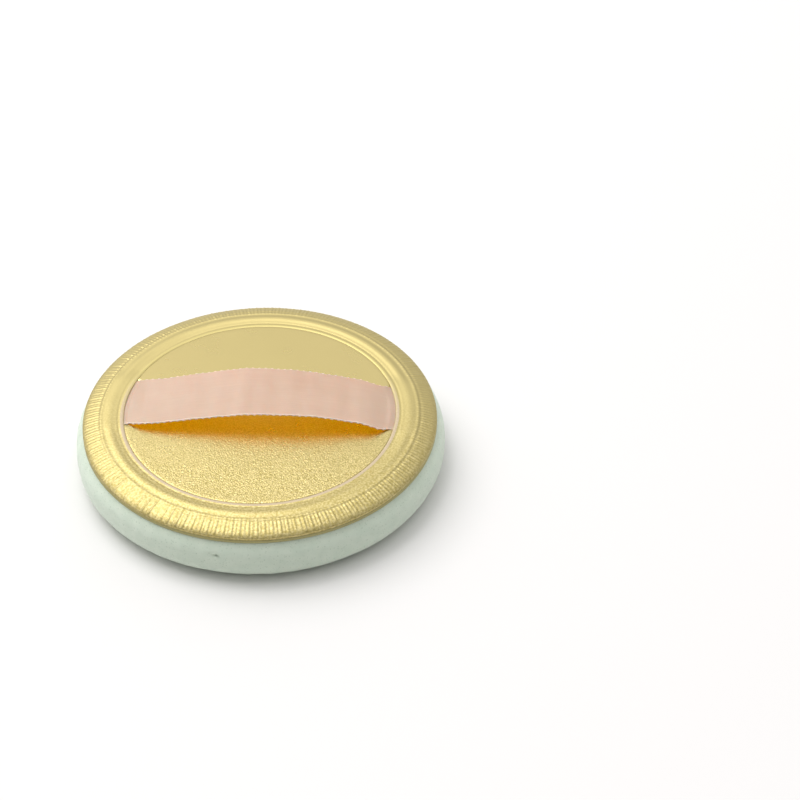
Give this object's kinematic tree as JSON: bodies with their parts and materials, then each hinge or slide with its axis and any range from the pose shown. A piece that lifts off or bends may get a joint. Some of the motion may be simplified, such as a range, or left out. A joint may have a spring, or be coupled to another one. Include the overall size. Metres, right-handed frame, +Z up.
{
  "type": "air cushion puff",
  "caption": "Round mint foam make-up puff with a ribbed gold leatherette back and a satin ribbon finger strap across it.",
  "frame": {"origin": "on the table under the middle of the face that the puff lies on", "axes": "+Z up, out of the gold back; +X along the strap, within two degrees; +Y away from the viewer of the picture"},
  "size_m": [0.0554, 0.0554, 0.0115],
  "materials": {
    "mint_foam": "matte microporous polyurethane foam",
    "core_sponge": "open-cell sponge",
    "clear_film": "thin smooth film",
    "pad_sponge": "thin sponge sheet",
    "gold_leatherette": "gold foil skin, grained and hot-pressed",
    "pink_satin": "satin weave with a picot edge"
  },
  "bodies": {
    "cushion": {"face_foam": "mint_foam", "core_sponge": "core_sponge"},
    "backing": {"barrier_film": "clear_film", "back_pad": "pad_sponge", "back_panel": "gold_leatherette", "rim_ring": "gold_leatherette"},
    "strap": {"strap": "pink_satin"}
  },
  "joints": [
    {"name": "cushion_press", "type": "slide", "parent": "cushion", "child": "backing", "axis": [0, 0, 1], "range_m": [-0.003, 0], "stiffness_N_per_m": 1500, "deforming": ["face_foam", "core_sponge"]},
    {"name": "strap_press", "type": "slide", "parent": "backing", "child": "strap", "axis": [0, 0, 1], "range_m": [-0.0021, 0.0005], "stiffness_N_per_m": 20, "deforming": ["strap"]}
  ]
}
